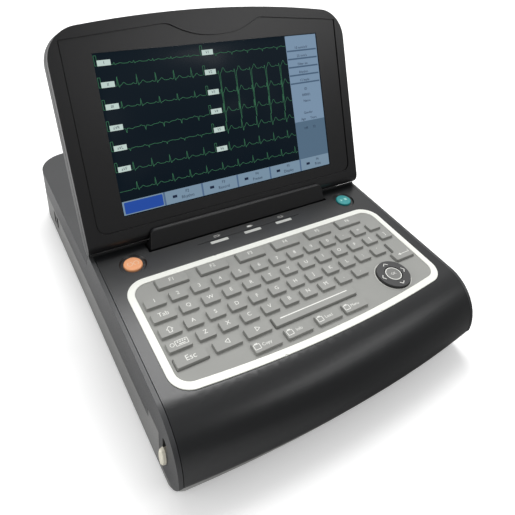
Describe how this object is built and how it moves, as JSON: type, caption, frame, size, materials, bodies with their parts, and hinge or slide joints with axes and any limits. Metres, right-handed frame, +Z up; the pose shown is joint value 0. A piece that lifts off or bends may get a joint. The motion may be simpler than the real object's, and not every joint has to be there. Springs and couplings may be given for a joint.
{
  "type": "electrocardiograph",
  "caption": "Portable ECG recorder with keyboard deck, fold-back display and a paper printer under a hinged front hood.",
  "frame": {"origin": "middle of the outline seen from above, on the table, with the display raised", "axes": "+X to the operator's right, +Y to the rear, +Z up; the keyboard deck rises to the rear by 3.2 degrees"},
  "size_m": [0.2984, 0.4191, 0.2609],
  "materials": {
    "housing_black": "satin",
    "case_grey": "satin",
    "trim_white": "satin",
    "keypad_grey": "matte",
    "button_orange": "satin",
    "button_teal": "satin",
    "screen_glass": "gloss",
    "light_clear": "gloss",
    "cream_knob": "satin",
    "steel": "satin",
    "brass_plated": "satin",
    "aluminium": "satin",
    "rubber_black": "matte",
    "board_green": "satin",
    "gear_plastic": "satin",
    "paper": "matte",
    "battery_blue": "satin"
  },
  "bodies": {
    "case": {"lower_case": "case_grey", "upper_case": "housing_black", "hinge_cover": "housing_black", "hinge_bracket_left": "steel", "hinge_bracket_right": "steel", "display_rest_pads": "rubber_black", "rubber_feet": "rubber_black", "case_screws": "steel", "battery_cover": "case_grey", "battery_pack": "battery_blue", "main_board": "board_green", "power_supply": "board_green", "loudspeaker": "steel", "mains_inlet": "housing_black", "network_socket": "steel", "earth_stud": "brass_plated", "usb_sockets": "steel", "patient_socket": "housing_black", "printer_frame": "steel", "platen_bushes": "gear_plastic", "stepper_motor": "steel", "paper_pack": "paper", "latch_spring": "steel"},
    "paper_door": {"control_deck": "housing_black", "door_hinge_pins": "steel", "keyboard_trim": "trim_white", "keypad_mat": "keypad_grey", "keypad_board": "board_green", "status_lights": "light_clear", "print_head": "aluminium", "head_carrier": "steel", "head_springs": "steel"},
    "display": {"display_bezel": "housing_black", "display_shell": "housing_black", "display_window": "screen_glass", "lcd_panel": "aluminium", "display_board": "board_green", "display_hinge_pins": "steel"},
    "platen": {"platen_shaft": "steel", "platen_roller": "rubber_black", "platen_gear": "gear_plastic"},
    "idler": {"idler_gear": "gear_plastic"},
    "pinion": {"motor_pinion": "brass_plated"},
    "latch_slider": {"latch_knob": "cream_knob", "latch_link": "steel"},
    "hook": {"latch_hook": "steel"},
    "power": {"power_button": "button_orange"},
    "start": {"start_button": "button_teal"},
    "navigation_x": {"navigation_pivot": "keypad_grey"},
    "navigation_y": {"navigation_disc": "rubber_black"},
    "ok": {"ok_key": "keypad_grey"},
    "space": {"space_key": "keypad_grey"},
    "enter": {"enter_key": "keypad_grey"},
    "escape": {"escape_key": "keypad_grey"},
    "f1": {"f1_key": "keypad_grey"},
    "f2": {"f2_key": "keypad_grey"},
    "f3": {"f3_key": "keypad_grey"},
    "f4": {"f4_key": "keypad_grey"},
    "f5": {"f5_key": "keypad_grey"},
    "f6": {"f6_key": "keypad_grey"}
  },
  "joints": [
    {"name": "display_tilt", "type": "hinge", "parent": "case", "child": "display", "pos_m": [0, -0.0096, 0.08994], "axis": [-1, 0, 0], "range_deg": [0, 65.6]},
    {"name": "door_hinge", "type": "hinge", "parent": "case", "child": "paper_door", "pos_m": [0, -0.02935, 0.07581], "axis": [-1, 0, 0], "range_deg": [0, 50]},
    {"name": "platen_spin", "type": "hinge", "parent": "case", "child": "platen", "pos_m": [0, -0.1695, 0.033], "axis": [1, 0, 0], "continuous": true},
    {"name": "idler_spin", "type": "hinge", "parent": "case", "child": "idler", "pos_m": [0.1195, -0.14858, 0.0262], "axis": [1, 0, 0], "continuous": true},
    {"name": "pinion_spin", "type": "hinge", "parent": "case", "child": "pinion", "pos_m": [0.1195, -0.13258, 0.0262], "axis": [1, 0, 0], "continuous": true},
    {"name": "latch_slide", "type": "slide", "parent": "case", "child": "latch_slider", "axis": [0, 0, 1], "range_m": [0, 0.009], "stiffness_N_per_m": 150, "deforming": ["latch_spring"]},
    {"name": "hook_turn", "type": "hinge", "parent": "case", "child": "hook", "pos_m": [-0.1325, -0.1765, 0.016], "axis": [-1, 0, 0], "range_deg": [0, 44]},
    {"name": "power_press", "type": "slide", "parent": "paper_door", "child": "power", "axis": [0, 0.0558, -0.9984], "range_m": [0, 0.0015], "stiffness_N_per_m": 400},
    {"name": "start_press", "type": "slide", "parent": "paper_door", "child": "start", "axis": [0, 0.0558, -0.9984], "range_m": [0, 0.0015], "stiffness_N_per_m": 400},
    {"name": "space_press", "type": "slide", "parent": "paper_door", "child": "space", "axis": [0, 0.0558, -0.9984], "range_m": [0, 0.0012], "stiffness_N_per_m": 300},
    {"name": "enter_press", "type": "slide", "parent": "paper_door", "child": "enter", "axis": [0, 0.0558, -0.9984], "range_m": [0, 0.0012], "stiffness_N_per_m": 300},
    {"name": "escape_press", "type": "slide", "parent": "paper_door", "child": "escape", "axis": [0, 0.0558, -0.9984], "range_m": [0, 0.0012], "stiffness_N_per_m": 300},
    {"name": "f1_press", "type": "slide", "parent": "paper_door", "child": "f1", "axis": [0, 0.0558, -0.9984], "range_m": [0, 0.0012], "stiffness_N_per_m": 300},
    {"name": "f2_press", "type": "slide", "parent": "paper_door", "child": "f2", "axis": [0, 0.0558, -0.9984], "range_m": [0, 0.0012], "stiffness_N_per_m": 300},
    {"name": "f3_press", "type": "slide", "parent": "paper_door", "child": "f3", "axis": [0, 0.0558, -0.9984], "range_m": [0, 0.0012], "stiffness_N_per_m": 300},
    {"name": "f4_press", "type": "slide", "parent": "paper_door", "child": "f4", "axis": [0, 0.0558, -0.9984], "range_m": [0, 0.0012], "stiffness_N_per_m": 300},
    {"name": "f5_press", "type": "slide", "parent": "paper_door", "child": "f5", "axis": [0, 0.0558, -0.9984], "range_m": [0, 0.0012], "stiffness_N_per_m": 300},
    {"name": "f6_press", "type": "slide", "parent": "paper_door", "child": "f6", "axis": [0, 0.0558, -0.9984], "range_m": [0, 0.0012], "stiffness_N_per_m": 300},
    {"name": "ok_press", "type": "slide", "parent": "paper_door", "child": "ok", "axis": [0, 0.0558, -0.9984], "range_m": [0, 0.001], "stiffness_N_per_m": 300},
    {"name": "navigation_rock_x", "type": "hinge", "parent": "paper_door", "child": "navigation_x", "pos_m": [0.086, -0.14528, 0.07133], "axis": [1, 0, 0], "range_deg": [-2.5, 2.5], "stiffness_Nm_per_rad": 0.05},
    {"name": "navigation_rock_y", "type": "hinge", "parent": "navigation_x", "child": "navigation_y", "pos_m": [0.086, -0.14528, 0.07133], "axis": [0, 0.9984, 0.0558], "range_deg": [-2.5, 2.5], "stiffness_Nm_per_rad": 0.05}
  ],
  "couplings": [
    {"joint": "idler_spin", "follows": "platen_spin", "ratio": -1.2},
    {"joint": "pinion_spin", "follows": "platen_spin", "ratio": 2},
    {"joint": "hook_turn", "follows": "latch_slide", "rad_per_m": 85}
  ]
}
